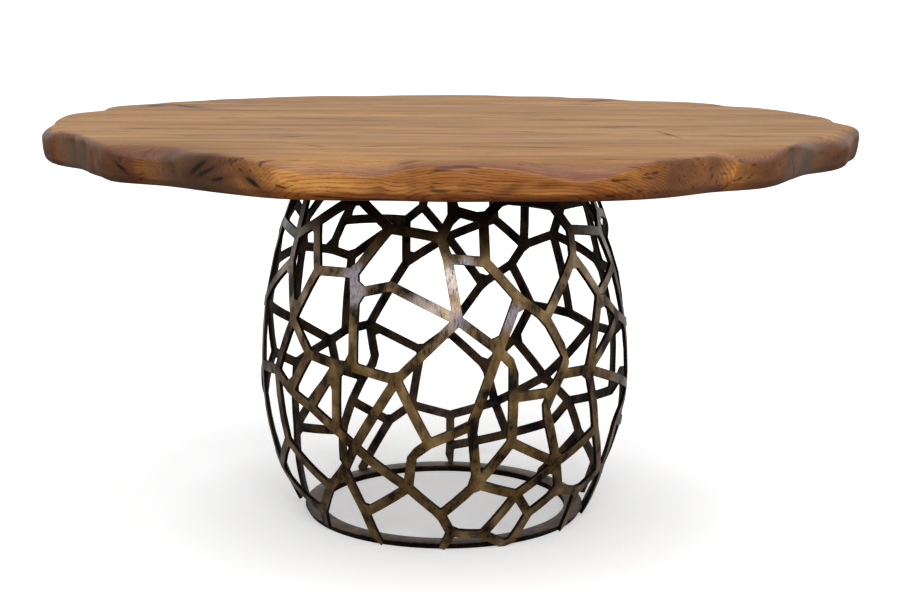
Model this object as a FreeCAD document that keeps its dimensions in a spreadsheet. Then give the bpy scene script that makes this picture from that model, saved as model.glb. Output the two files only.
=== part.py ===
import FreeCAD, Part
import math
import os
import Sketcher
from FreeCAD import Placement, Vector

# Round dining table: a carved-edge wooden top on a barrel of welded flat bars.
# The origin is on the floor under the barrel's axis, +Z is up, and -Y is the photographed front.

doc = FreeCAD.newDocument("dining_table")

# Driving dimensions, in millimetres
DRIVING_SIZES = {
    "table_height": 762,
    "top_diameter": 1524,
    "top_thickness": 62,
    "top_edge_round": 16,
    "underside_edge_round": 10,
    "tongue_width": 30,
    "tongue_thickness": 8,
    "tongue_end_margin": 70,
    "belly_radius": 357,
    "belly_height": 290,
    "foot_radius": 275,
    "neck_radius": 264,
    "bar_width": 18,
    "bar_thickness": 7,
    "floor_ring_width": 29,
    "floor_ring_height": 12,
    "mounting_ring_width": 85,
    "mounting_ring_thickness": 8,
    "mounting_ring_lip": 6,
    "bolt_circle_radius": 225,
    "bolt_hole_diameter": 12,
    "bolt_diameter": 8,
    "bolt_reach": 20,
    "bolt_head_diameter": 15,
    "bolt_head_height": 5.5,
    "washer_diameter": 24,
    "washer_thickness": 2,
    "insert_diameter": 13,
    "insert_length": 25,
    "thread_clearance": 0.2,
    "insert_clearance": 0.1,
    "cut_overrun": 10,
}

# Sizes that follow from the driving ones
DERIVED_SIZES = {
    "underside_height": "=table_height - top_thickness",
    "lattice_height": "=underside_height - mounting_ring_thickness",
    "lower_bulge": "=belly_radius - foot_radius",
    "lower_arc": "=(belly_height^2 + lower_bulge^2) / (2 * lower_bulge)",
    "floor_ring_foot": "=belly_radius - lower_arc + sqrt((lower_arc - bar_thickness)^2 - belly_height^2)",
    "floor_ring_rise": "=belly_height - floor_ring_height",
    "floor_ring_brow": "=belly_radius - lower_arc + sqrt((lower_arc - bar_thickness)^2 - floor_ring_rise^2)",
    "mounting_ring_outside": "=neck_radius + mounting_ring_lip",
    "mounting_ring_inside": "=mounting_ring_outside - mounting_ring_width",
    "top_reach": "=top_diameter / 2 + cut_overrun",
}

BOARD_COUNT = 9
BOLT_COUNT = 8

sheet = doc.addObject("Spreadsheet::Sheet", "Sizes")
for row, (alias, value) in enumerate({**DRIVING_SIZES, **DERIVED_SIZES}.items(), start=1):
    sheet.set(f"A{row}", alias)
    sheet.set(f"B{row}", str(value))
    sheet.setAlias(f"B{row}", alias)
doc.recompute()


def size(alias):
    return float(sheet.get(alias))


def bound(kind, name, **expressions):
    """A document object whose properties follow the sheet."""
    item = doc.addObject(kind, name)
    for path, expression in expressions.items():
        item.setExpression(path.replace("__", "."), expression)
    return item


def fixed_shape(name, shape):
    """A sub-part whose shape is worked out here from the sheet's sizes."""
    item = doc.addObject("Part::Feature", name)
    item.Shape = shape
    item.Placement = Placement()
    return item


class Barrel:
    """Two tangent arcs that meet at the belly, turned about the Z axis."""

    def __init__(self, foot, belly, neck, belly_height, height):
        self.belly = belly
        self.belly_height = belly_height
        self.height = height
        self.lower_arc = self.arc_through(belly_height, belly - foot)
        self.upper_arc = self.arc_through(height - belly_height, belly - neck)

    @staticmethod
    def arc_through(rise, bulge):
        return (rise ** 2 + bulge ** 2) / (2 * bulge)

    def arc(self, z):
        return self.lower_arc if z < self.belly_height else self.upper_arc

    def radius(self, z, inset=0):
        arc = self.arc(z)
        depth = max((arc - inset) ** 2 - (z - self.belly_height) ** 2, 0)
        return self.belly - arc + math.sqrt(depth)

    def point(self, turn, z):
        radius = self.radius(z)
        return Vector(radius * math.cos(turn), radius * math.sin(turn), z)

    def normal(self, turn, z):
        arc = self.arc(z)
        slope = (z - self.belly_height) / arc
        level = math.sqrt(1 - slope ** 2)
        return Vector(level * math.cos(turn), level * math.sin(turn), slope)


barrel = Barrel(size("foot_radius"), size("belly_radius"), size("neck_radius"),
                size("belly_height"), size("lattice_height"))

# How the photograph looks at the table: lengths are shares of the table's height
camera_height_share = 1.347
camera_distance_share = 4.288
CAMERA_PITCH_DEGREES = 10.6
FOCAL_PIXELS = 1712
CENTRE_ROW_PIXEL = 300
AXIS_COLUMN_PIXEL = 444.5
photographed_foot_share = 0.361
photographed_belly_share = 0.4685
photographed_neck_share = 0.3465
photographed_belly_height_share = 0.3806
photographed_lattice_share = 0.908
photographed_bar_share = 0.0092
photographed = Barrel(photographed_foot_share, photographed_belly_share, photographed_neck_share,
                      photographed_belly_height_share, photographed_lattice_share)

# Junctions of the lattice in the photograph, in pixels: those on the near half of the barrel
NEAR_JUNCTION_PIXELS = {
    "n1": (297, 236), "n2": (317, 222), "n3": (317, 271), "n4": (354, 274), "n5": (389, 229),
    "n6": (441, 238), "n7": (455, 211), "n8": (484, 219), "n9": (486, 262), "n10": (448, 259),
    "n11": (553, 205), "n12": (571, 229), "n13": (600, 231), "n14": (574, 256), "n15": (598, 211),
    "n16": (613, 264), "n17": (357, 197), "n18": (503, 199), "n19": (283, 221), "n20": (291, 262),
    "n21": (266, 298), "n22": (293, 319), "n24": (263, 365), "n25": (277, 371), "n26": (309, 355),
    "n27": (337, 366), "n28": (353, 368), "n29": (355, 294), "n30": (391, 287), "n31": (459, 321),
    "n32": (519, 298), "n33": (547, 318), "n34": (568, 357), "n35": (600, 294), "n36": (618, 314),
    "n37": (625, 321), "n38": (628, 384), "n39": (590, 369), "n40": (563, 374), "n41": (554, 392),
    "n42": (547, 409), "n43": (515, 366), "n44": (500, 351), "n45": (515, 398), "n46": (513, 443),
    "n47": (473, 426), "n48": (397, 381), "n49": (430, 445), "n50": (413, 457), "n51": (409, 489),
    "n52": (355, 448), "n53": (345, 470), "n54": (331, 488), "n55": (337, 431), "n56": (311, 408),
    "n57": (291, 392), "n58": (288, 441), "n59": (283, 468), "n60": (366, 514), "n61": (442, 516),
    "n62": (478, 485), "n63": (452, 534), "n64": (484, 535), "n65": (518, 495), "n66": (530, 514),
    "n67": (558, 463), "n68": (560, 489), "n69": (578, 491), "n70": (599, 470), "n71": (597, 428),
    "n72": (617, 420), "n73": (604, 464), "n74": (324, 512),
}

# Those on the far half, seen through the lattice
FAR_JUNCTION_PIXELS = {
    "f1": (344, 221), "f2": (332, 250), "f3": (352, 257), "f4": (406, 220), "f5": (422, 207),
    "f6": (406, 263), "f7": (447, 237), "f8": (493, 219), "f9": (522, 245), "f10": (551, 234),
    "f11": (510, 264), "f12": (481, 284), "f13": (530, 305), "f14": (568, 313), "f15": (597, 262),
    "f16": (589, 325), "f17": (611, 331), "f18": (304, 247), "f19": (297, 321), "f20": (332, 341),
    "f21": (346, 331), "f22": (370, 325), "f23": (376, 361), "f24": (364, 378), "f25": (338, 370),
    "f26": (421, 351), "f27": (447, 332), "f28": (485, 367), "f29": (513, 339), "f30": (543, 377),
    "f31": (494, 403), "f32": (450, 416), "f33": (412, 406), "f34": (390, 422), "f35": (353, 402),
    "f36": (344, 432), "f37": (299, 428), "f38": (567, 401), "f39": (609, 390), "f40": (550, 422),
    "f41": (506, 435), "f42": (450, 447), "f43": (577, 432), "f44": (592, 461),
}

# Upper ends, welded under the mounting ring, and feet, which stand on the floor
NEAR_END_PIXELS = {
    "nt2": (315, 166), "nt3": (362, 172), "nt4": (443, 172), "nt5": (526, 172), "nt6": (562, 170),
}
FAR_END_PIXELS = {
    "ft2": (426, 146), "ft3": (490, 146), "ft4": (538, 147), "ft5": (568, 150),
}
NEAR_FOOT_PIXELS = {
    "ng1": (325, 526), "ng2": (380, 543), "ng3": (444, 548), "ng4": (510, 543), "ng5": (562, 531),
    "ng6": (584, 516),
}
FAR_FOOT_PIXELS = {
    "fg1": (536, 470), "fg2": (584, 487), "fg3": (449, 461), "fg4": (357, 466), "fg5": (345, 474),
    "fg6": (309, 497),
}

# Junctions that carry the pattern on where it turns away or is behind the top:
# degrees of turn, and height as a share of the lattice
UNSEEN_TURNS_AND_HEIGHT_SHARES = {
    "u1": (23, 0.86), "u2": (40, 0.83), "u3": (57, 0.86), "u4": (71, 0.88), "u5": (97, 0.89),
    "u6": (112, 0.91), "u7": (126, 0.86), "u8": (142, 0.89), "u9": (152, 0.80), "u10": (166, 0.86),
    "u11": (177, 0.79), "u12": (171, 0.70), "u13": (172, 0.57), "u14": (165, 0.42), "u15": (150, 0.36),
    "u16": (179, 0.33), "u17": (181, 0.18), "u18": (358, 0.84), "u19": (12, 0.77), "u20": (4, 0.66),
    "u21": (6, 0.53), "u22": (6, 0.39), "u23": (359, 0.26), "u24": (2, 0.12),
    "ut1": (187, 1), "ut2": (111, 1), "ut3": (143, 1), "ut4": (165, 1), "ut5": (343, 1), "ut6": (2, 1),
    "ug1": (183, 0), "ug2": (357, 0),
}

# Each bar runs between two junctions
NEAR_BARS = """
    n19-ut1 n19-n1 n19-n21 n1-nt2 n1-n2 n1-n20 n20-n22 n20-n21 n2-n17 n2-n3 n17-nt3 n17-n5 n3-n4 n3-n22
    n4-n5 n4-n29 n5-n6 n6-n7 n6-n10 n7-nt4 n7-n8 n8-n18 n18-nt5 n18-n11 n8-n9 n9-n10 n9-n32 n10-n31
    n11-nt6 n11-n12 n12-n13 n12-n14 n13-n15 n13-n16 n15-ut5 n15-u18 n14-n33 n14-n35 n16-n35 n16-n37
    n35-n36 n35-n39 n36-n39 n36-n37 n37-n38 n38-n39 n38-n72 n39-n40 n39-n71 n40-n34 n34-n33 n33-n32
    n32-n44 n40-n41 n41-n42 n41-n45 n42-n67 n45-n43 n45-n46 n43-n44 n44-n31 n44-n47 n31-n30 n30-n29
    n31-n48 n29-n28 n28-n27 n28-n48 n27-n26 n27-n56 n27-n55 n26-n22 n26-n57 n22-n25 n25-n24 n24-n21
    n25-n57 n25-n58 n57-n56 n56-n55 n55-n52 n48-n52 n48-n49 n49-n47 n49-n50 n50-n51 n52-n53 n52-n51
    n53-n54 n53-n60 n54-n58 n58-n59 n24-n59 n59-n74 n54-n74 n74-ng1 n51-n60 n51-n61 n60-ng2 n61-n62
    n61-n63 n62-n47 n62-n46 n62-n65 n63-n64 n63-ng3 n64-n65 n64-ng4 n65-n66 n65-n67 n66-n68 n66-ng4
    n67-n46 n67-n71 n67-n68 n68-n69 n69-n70 n69-ng5 n70-n71 n70-n73 n72-n73 n73-ng6
""".split()
FAR_BARS = """
    f1-f2 f1-f4 f2-f18 f2-f3 f3-f4 f3-f21 f4-f5 f4-f6 f5-u5 f5-f7 f6-f7 f6-f22 f7-f8 f7-f12
    f8-u4 f8-f9 f9-u3 f9-f10 f9-f11 f11-f12 f11-f13 f13-f14 f13-f29 f10-f15 f10-f14 f15-u1 f15-f17
    f14-f16 f16-f17 f16-f30 f17-f39 f39-f38 f30-f29 f30-f31 f30-f38 f38-f40 f38-f43
    f40-f41 f43-fg1 f43-f44 f44-fg2 f29-f28 f28-f27 f28-f31 f27-f12 f27-f26 f26-f22 f26-f33 f33-f34
    f33-f32 f32-f31 f32-f42 f31-f41 f41-f42 f42-fg3 f34-f35 f34-fg4 f35-f24 f35-f36 f36-f37 f36-fg5
    f24-f23 f24-f25 f23-f22 f25-f20 f25-f37 f20-f21 f20-f19 f21-f22 f19-f18 f37-fg6
""".split()
UNSEEN_BARS = """
    u1-ft5 u1-u2 u1-u19 u2-ft4 u2-f10 u2-u3 u3-u4 u4-ft3 u4-u5 u5-ft2 u5-u6 u6-ut2 u6-u7 u7-f1 u7-u8
    u8-ut3 u8-u9 u9-f18 u9-u10 u10-ut4 u10-u11 u11-n19 u11-u12 u12-f18 u12-u13 u13-f19 u13-n21 u13-u14
    u14-u15 u14-u16 u15-f20 u15-f37 u16-n24 u16-u17 u17-n59 u17-ug1 u18-ut6 u18-u19 u19-u20 u20-f15
    u20-u21 u21-n37 u21-f17 u22-n38 u22-f39 u22-u23 u23-n72 u23-u24 u24-f44 u24-ug2
""".split()

SEARCH_STEPS = 60


def sight_line(pixel):
    """The direction from the camera through one pixel of the photograph."""
    column, row = pixel
    across = (column - AXIS_COLUMN_PIXEL) / FOCAL_PIXELS
    up = (CENTRE_ROW_PIXEL - row) / FOCAL_PIXELS
    pitch = math.radians(CAMERA_PITCH_DEGREES)
    return Vector(across, math.cos(pitch) + up * math.sin(pitch), up * math.cos(pitch) - math.sin(pitch))


def seen_on_barrel(pixel, far_half):
    """Turn about the axis, and height as a share of the lattice, where a sight line meets the barrel.

    The near half shows the outer face of its bars and the far half the inner one."""
    camera = Vector(0, -camera_distance_share, camera_height_share)
    inset = photographed_bar_share if far_half else 0
    direction = sight_line(pixel)

    def place(reach):
        return camera + direction * reach

    def clearance(reach):
        spot = place(reach)
        return math.hypot(spot.x, spot.y) - photographed.radius(spot.z, inset)

    near = camera_distance_share - 1
    far = camera_distance_share + 1
    low, high = near, far
    for _ in range(SEARCH_STEPS):
        third = (high - low) / 3
        if clearance(low + third) < clearance(high - third):
            high -= third
        else:
            low += third
    deepest = (low + high) / 2
    reach = deepest
    if clearance(deepest) < 0:
        inside, outside = deepest, far if far_half else near
        for _ in range(SEARCH_STEPS):
            reach = (inside + outside) / 2
            if clearance(reach) < 0:
                inside = reach
            else:
                outside = reach
    spot = place(reach)
    return math.atan2(spot.y, spot.x), spot.z / photographed_lattice_share


def read_junctions():
    """Turn and height share of every junction, end and foot of the lattice."""
    seen = {}
    for pixels, far_half in ((NEAR_JUNCTION_PIXELS, False), (FAR_JUNCTION_PIXELS, True)):
        for name, pixel in pixels.items():
            seen[name] = seen_on_barrel(pixel, far_half)
    ends = ((NEAR_END_PIXELS, False, 1), (FAR_END_PIXELS, True, 1),
            (NEAR_FOOT_PIXELS, False, 0), (FAR_FOOT_PIXELS, True, 0))
    for pixels, far_half, height_share in ends:
        for name, pixel in pixels.items():
            turn, _ = seen_on_barrel(pixel, far_half)
            seen[name] = (turn, height_share)
    for name, (degrees, height_share) in UNSEEN_TURNS_AND_HEIGHT_SHARES.items():
        seen[name] = (math.radians(degrees), height_share)
    return seen


class Junction:
    """A welded meeting of bars on the barrel's outer face, with the mitre corners between them."""

    def __init__(self, turn, height_share):
        z = height_share * barrel.height
        self.height_share = height_share
        self.turn = turn
        self.point = barrel.point(turn, z)
        self.normal = barrel.normal(turn, z)
        self.east = Vector(-math.sin(turn), math.cos(turn), 0)
        self.north = self.normal.cross(self.east)
        self.neighbours = {}

    def heading(self, other):
        step = other.point - self.point
        return math.atan2(step.dot(self.north), step.dot(self.east))

    def along(self, angle):
        return self.east * math.cos(angle) + self.north * math.sin(angle)

    def is_end(self):
        return len(self.neighbours) == 1

    def has_apex(self):
        return len(self.neighbours) > 2

    def corners(self, name):
        """Left and right corners of the bar that leaves towards a neighbour."""
        half = size("bar_width") / 2
        heading = self.neighbours[name]
        if self.is_end():
            back = self.point - self.along(heading) * size("bar_width")
            aside = self.along(heading + math.pi / 2) * half
            return back + aside, back - aside
        gaps = [(other - heading) % (2 * math.pi) for key, other in self.neighbours.items() if key != name]
        left_gap = min(gaps)
        right_gap = 2 * math.pi - max(gaps)
        left = self.point + self.along(heading + left_gap / 2) * (half / math.sin(left_gap / 2))
        right = self.point + self.along(heading - right_gap / 2) * (half / math.sin(right_gap / 2))
        return left, right


def meet(first, second, third):
    """The point where three planes, each a point and a normal, cross."""
    (p1, n1), (p2, n2), (p3, n3) = first, second, third
    total = n2.cross(n3) * p1.dot(n1) + n3.cross(n1) * p2.dot(n2) + n1.cross(n2) * p3.dot(n3)
    return total / n1.dot(n2.cross(n3))


def bar_cutter(start, end, start_name, end_name):
    """A wedge with the bar's outline: two long sides and a mitre on each side of both ends."""
    left_start, right_start = start.corners(end_name)
    right_end, left_end = end.corners(start_name)
    middle = (start.point + end.point) / 2
    outward = (start.normal + end.normal).normalize()
    outline = [(right_start, outward), (right_end, end.normal)]
    if end.has_apex():
        outline.append((end.point, end.normal))
    outline += [(left_end, outward), (left_start, start.normal)]
    if start.has_apex():
        outline.append((start.point, start.normal))
    sides = []
    for index, (corner, lean) in enumerate(outline):
        following = outline[(index + 1) % len(outline)][0]
        sides.append((corner, (following - corner).cross(lean)))
    sag = (start.point - end.point).Length ** 2 / (8 * size("foot_radius"))
    reach = sag + size("bar_width")
    rings = []
    for lift in (-reach, reach):
        cap = (middle + outward * lift, outward)
        rings.append([meet(sides[index - 1], sides[index], cap) for index in range(len(sides))])
    inner, outer = rings
    loops = [list(reversed(inner)), outer]
    for index in range(len(inner)):
        after = (index + 1) % len(inner)
        loops.append([inner[index], inner[after], outer[after], outer[index]])
    faces = [Part.Face(Part.makePolygon(loop + loop[:1])) for loop in loops]
    return Part.Solid(Part.Shell(faces))


def barrel_section():
    """Half section of the barrel's wall, in the XZ plane."""
    thickness = size("bar_thickness")

    def spot(z, inset):
        return Vector(barrel.radius(z, inset), 0, z)

    def arc(low, high, inset):
        return Part.Arc(spot(low, inset), spot((low + high) / 2, inset), spot(high, inset)).toShape()

    belly, top = barrel.belly_height, barrel.height
    edges = [
        arc(0, belly, 0),
        arc(belly, top, 0),
        Part.LineSegment(spot(top, 0), spot(top, thickness)).toShape(),
        arc(belly, top, thickness),
        arc(0, belly, thickness),
        Part.LineSegment(spot(0, 0), spot(0, thickness)).toShape(),
    ]
    return Part.Face(Part.Wire(Part.__sortEdges__(edges)))


SECTOR_DEGREES = 100


def bar_solid(section, start, end, start_name, end_name):
    """One flat bar, curved to the barrel and mitred to its neighbours."""
    middle = start.point + end.point
    turn = math.degrees(math.atan2(middle.y, middle.x))
    half_section = section.copy()
    half_section.rotate(Vector(0, 0, 0), Vector(0, 0, 1), turn - SECTOR_DEGREES / 2)
    wall = half_section.revolve(Vector(0, 0, 0), Vector(0, 0, 1), SECTOR_DEGREES)
    bar = wall.common(bar_cutter(start, end, start_name, end_name))
    if len(bar.Solids) != 1:
        raise RuntimeError(f"bar {start_name}-{end_name} has {len(bar.Solids)} solids")
    return bar.Solids[0]


SIDE_NAMES = ["right", "back_right", "back", "back_left", "left", "front_left", "front", "front_right"]
LEVEL_NAMES = ["lower", "middle", "upper"]
level_shares = [0.37, 0.66]


def lattice_node_name(start, end):
    """The side and level of the lattice that the bar between two junctions belongs to."""
    eighth = 2 * math.pi / len(SIDE_NAMES)
    turn = math.atan2(math.sin(start.turn) + math.sin(end.turn), math.cos(start.turn) + math.cos(end.turn))
    side = round(turn / eighth) % len(SIDE_NAMES)
    level = sum((start.height_share + end.height_share) / 2 > share for share in level_shares)
    return f"lattice_{SIDE_NAMES[side]}_{LEVEL_NAMES[level]}"


def make_lattice():
    """All the bars, grouped by side and level."""
    junctions = {name: Junction(*seen) for name, seen in read_junctions().items()}
    pairs = [bar.split("-") for bar in NEAR_BARS + FAR_BARS + UNSEEN_BARS]
    for first, second in pairs:
        junctions[first].neighbours[second] = junctions[first].heading(junctions[second])
        junctions[second].neighbours[first] = junctions[second].heading(junctions[first])
    section = barrel_section()
    groups = {}
    for first, second in pairs:
        start, end = junctions[first], junctions[second]
        bar = bar_solid(section, start, end, first, second)
        groups.setdefault(lattice_node_name(start, end), []).append(bar)
    return [fixed_shape(name, Part.makeCompound(bars)) for name, bars in sorted(groups.items())]


def make_floor_ring():
    """Flat ring on the floor, with its outside leaning against the feet of the lattice."""
    outside = bound("Part::Cone", "floor_ring_outside", Radius1="Sizes.floor_ring_foot",
                    Radius2="Sizes.floor_ring_brow", Height="Sizes.floor_ring_height")
    bore = bound("Part::Cylinder", "floor_ring_bore", Height="Sizes.floor_ring_height",
                 Radius="Sizes.floor_ring_foot - Sizes.floor_ring_width")
    ring = doc.addObject("Part::Cut", "floor_ring")
    ring.Base = outside
    ring.Tool = bore
    return ring


def origin_feature(body, role):
    return next(item for item in body.Origin.OriginFeatures if item.Role == role)


def flat_sketch(body, name):
    sketch = body.newObject("Sketcher::SketchObject", name)
    sketch.AttachmentSupport = (origin_feature(body, "XY_Plane"), [""])
    sketch.MapMode = "FlatFace"
    return sketch


def sketch_circle(sketch, radius_expression, across_expression=None):
    """A circle on the sketch's X axis whose size and place follow the sheet."""
    circle = sketch.addGeometry(Part.Circle(Vector(0, 0, 0), Vector(0, 0, 1), size("bolt_diameter")), False)
    if across_expression is None:
        sketch.addConstraint(Sketcher.Constraint("Coincident", circle, 3, -1, 1))
    else:
        sketch.addConstraint(Sketcher.Constraint("PointOnObject", circle, 3, -1))
        start_size = size("bolt_diameter")
        across = sketch.addConstraint(Sketcher.Constraint("DistanceX", -1, 1, circle, 3, start_size))
        sketch.setExpression(f"Constraints[{across}]", across_expression)
    radius = sketch.addConstraint(Sketcher.Constraint("Radius", circle, size("bolt_diameter")))
    sketch.setExpression(f"Constraints[{radius}]", radius_expression)


def make_mounting_ring():
    """Flat ring welded on the lattice, with a circle of holes for the bolts of the top."""
    body = bound("PartDesign::Body", "mounting_ring", Placement__Base__z="Sizes.lattice_height")
    outline = flat_sketch(body, "mounting_ring_outline")
    sketch_circle(outline, "Sizes.mounting_ring_outside")
    sketch_circle(outline, "Sizes.mounting_ring_inside")
    pad = body.newObject("PartDesign::Pad", "mounting_ring_plate")
    pad.Profile = outline
    pad.setExpression("Length", "Sizes.mounting_ring_thickness")
    doc.recompute()
    hole_sketch = flat_sketch(body, "mounting_ring_hole")
    sketch_circle(hole_sketch, "Sizes.bolt_hole_diameter / 2", "Sizes.bolt_circle_radius")
    hole = body.newObject("PartDesign::Pocket", "mounting_ring_first_hole")
    hole.Profile = hole_sketch
    hole.Reversed = True
    hole.setExpression("Length", "Sizes.mounting_ring_thickness")
    doc.recompute()
    pattern = body.newObject("PartDesign::PolarPattern", "mounting_ring_holes")
    pattern.Originals = [hole]
    pattern.Axis = (origin_feature(body, "Z_Axis"), [""])
    pattern.Angle = 360
    pattern.Occurrences = BOLT_COUNT
    body.Tip = pattern
    return body


def on_bolt_circle(name, piece):
    """Copies of a fastener, one at each bolt."""
    doc.recompute()
    copies = []
    for index in range(BOLT_COUNT):
        angle = 2 * math.pi * index / BOLT_COUNT
        copy = piece.Shape.copy()
        copy.translate(Vector(math.cos(angle), math.sin(angle), 0) * size("bolt_circle_radius"))
        copies.append(copy)
    return fixed_shape(name, Part.makeCompound(copies))


def tube(name, outside, bore, length, z):
    """A short tube on the Z axis, from sheet expressions."""
    outer = bound("Part::Cylinder", name + "_outside", Radius=outside, Height=length, Placement__Base__z=z)
    inner = bound("Part::Cylinder", name + "_bore", Radius=bore, Height=length, Placement__Base__z=z)
    cut = doc.addObject("Part::Cut", name)
    cut.Base = outer
    cut.Tool = inner
    return cut


def make_fasteners():
    """Hexagon bolts with washers from below, and the threaded inserts that they reach into."""
    seat = "Sizes.lattice_height - Sizes.washer_thickness"
    shank = bound("Part::Cylinder", "bolt_shank", Radius="Sizes.bolt_diameter / 2", Placement__Base__z=seat,
                  Height="Sizes.washer_thickness + Sizes.mounting_ring_thickness + Sizes.bolt_reach")
    head = bound("Part::Prism", "bolt_head", Circumradius="Sizes.bolt_head_diameter / 2",
                 Height="Sizes.bolt_head_height", Placement__Base__z=seat + " - Sizes.bolt_head_height")
    head.Polygon = 6
    bolt = doc.addObject("Part::Fuse", "bolt")
    bolt.Base = shank
    bolt.Tool = head
    bore = "Sizes.bolt_diameter / 2 + Sizes.thread_clearance"
    washer = tube("washer", "Sizes.washer_diameter / 2", bore, "Sizes.washer_thickness", seat)
    insert = tube("insert", "Sizes.insert_diameter / 2", bore, "Sizes.insert_length",
                  "Sizes.underside_height")
    return [on_bolt_circle("mounting_bolts", bolt), on_bolt_circle("mounting_washers", washer),
            on_bolt_circle("threaded_inserts", insert)]


# The carved edge of the top, once round from the right-hand end by way of the back:
# degrees of turn, and the radius there as a share of the top's nominal radius
EDGE_TURNS_AND_RADIUS_SHARES = [
    (-10, 1.010), (-3, 1.004), (1, 0.990), (6, 1.003), (14, 1.010), (26, 1.022), (31, 1.010),
    (35, 0.982), (38.5, 1.010), (42, 1.024), (47, 1.010), (51, 0.975), (54.5, 0.958), (58, 0.978),
    (61, 0.996), (64.5, 0.980), (67, 0.969), (70.5, 1.000), (73.5, 0.989), (76.5, 0.970), (81, 0.992),
    (86, 1.008), (92, 0.996), (100, 0.979), (106.5, 0.970), (110.5, 1.002), (116, 1.014), (121.5, 1.008),
    (127, 0.998), (132, 1.018), (137, 0.998), (141.5, 1.022), (146.5, 1.006), (152, 1.026), (157, 1.012),
    (162.5, 0.974), (168, 0.996), (174, 0.992), (181, 0.976), (188, 0.967), (194, 0.984), (199, 0.981),
    (202.5, 0.966), (206, 0.947), (212, 0.954), (218, 0.964), (222.5, 0.982), (226, 0.972), (231, 0.953),
    (237, 0.962), (244, 0.985), (250.5, 1.006), (257, 0.997), (264, 0.980), (270, 0.988), (277, 0.988),
    (283, 1.004), (289, 1.018), (296, 1.016), (301, 1.000), (305, 0.989), (309, 0.998), (312.5, 1.005),
    (317, 0.993), (323, 0.968), (327, 0.957), (331, 0.958), (335, 0.978), (339, 0.994), (346, 0.998),
]
tongue_reach_share = 0.94


def make_top_block():
    """The whole top before it is divided: lobed outline, rounded along both arrises."""
    radius = size("top_diameter") / 2
    points = []
    for degrees, share in EDGE_TURNS_AND_RADIUS_SHARES:
        turn = math.radians(degrees)
        points.append(Vector(math.cos(turn), math.sin(turn), 0) * (radius * share))
    edge = Part.BSplineCurve()
    edge.interpolate(Points=points, PeriodicFlag=True)
    face = Part.Face(Part.Wire(edge.toShape()))
    face.translate(Vector(0, 0, size("underside_height")))
    block = face.extrude(Vector(0, 0, size("top_thickness")))
    margin = size("cut_overrun")
    lower_rim = [rim for rim in block.Edges if rim.BoundBox.ZMax < size("underside_height") + margin]
    block = block.makeFillet(size("underside_edge_round"), lower_rim)
    upper_rim = [rim for rim in block.Edges if rim.BoundBox.ZMin > size("table_height") - margin]
    block = block.makeFillet(size("top_edge_round"), upper_rim)
    return fixed_shape("top_block", block)


def make_top():
    """Boards along X, glued edge to edge over loose tongues, with sockets for the threaded inserts."""
    block = make_top_block()
    pitch = f"(2 * Sizes.top_reach / {BOARD_COUNT})"
    tongues = []
    for index in range(1, BOARD_COUNT):
        seam = f"({index} * {pitch} - Sizes.top_reach)"
        chord = f"sqrt((Sizes.top_diameter / 2 * {tongue_reach_share})^2 - {seam}^2)"
        half = f"({chord} - Sizes.tongue_end_margin)"
        middle = "Sizes.underside_height + (Sizes.top_thickness - Sizes.tongue_thickness) / 2"
        tongues.append(bound("Part::Box", f"tongue_{index}", Length=f"2 * {half}",
                             Width="Sizes.tongue_width", Height="Sizes.tongue_thickness",
                             Placement__Base__x=f"-{half}", Placement__Base__z=middle,
                             Placement__Base__y=f"{seam} - Sizes.tongue_width / 2"))
    tongue_group = doc.addObject("Part::Compound", "board_tongues")
    tongue_group.Links = tongues
    socket = bound("Part::Cylinder", "insert_socket", Placement__Base__z="Sizes.underside_height",
                   Radius="Sizes.insert_diameter / 2 + Sizes.insert_clearance", Height="Sizes.insert_length")
    sockets = on_bolt_circle("insert_sockets", socket)
    cuts = doc.addObject("Part::Compound", "top_cuts")
    cuts.Links = tongues + [sockets]
    boards = []
    for index in range(BOARD_COUNT):
        strip = bound("Part::Box", f"board_strip_{index + 1}", Length="2 * Sizes.top_reach", Width=pitch,
                      Height="Sizes.top_thickness + 2 * Sizes.cut_overrun",
                      Placement__Base__x="-Sizes.top_reach",
                      Placement__Base__y=f"{index} * {pitch} - Sizes.top_reach",
                      Placement__Base__z="Sizes.underside_height - Sizes.cut_overrun")
        slotted = doc.addObject("Part::Cut", f"board_slots_{index + 1}")
        slotted.Base = strip
        slotted.Tool = cuts
        slotted.Refine = False
        board = doc.addObject("Part::Common", f"top_board_{index + 1}")
        board.Base = block
        board.Tool = slotted
        board.Refine = False
        boards.append(board)
    return boards + [tongue_group]


sub_parts = make_lattice()
sub_parts.append(make_floor_ring())
sub_parts.append(make_mounting_ring())
sub_parts += make_fasteners()
sub_parts += make_top()
doc.recompute()

for item in doc.Objects:
    if "Invalid" in item.State or "Error" in item.State:
        raise RuntimeError(f"{item.Label} failed: {item.State}")
for item in sub_parts:
    if item.Shape.isNull() or not item.Shape.isValid() or not item.Shape.Solids:
        raise RuntimeError(f"{item.Label} has no valid shape")

os.makedirs("parts", exist_ok=True)
for item in sub_parts:
    item.Shape.exportStep(os.path.join("parts", item.Label + ".step"))
print(f"{len(sub_parts)} nodes, {sum(len(item.Shape.Solids) for item in sub_parts)} solids")
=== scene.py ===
import math

import bmesh
import bpy
import numpy as np
from mathutils import Matrix, Vector, noise


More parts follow.
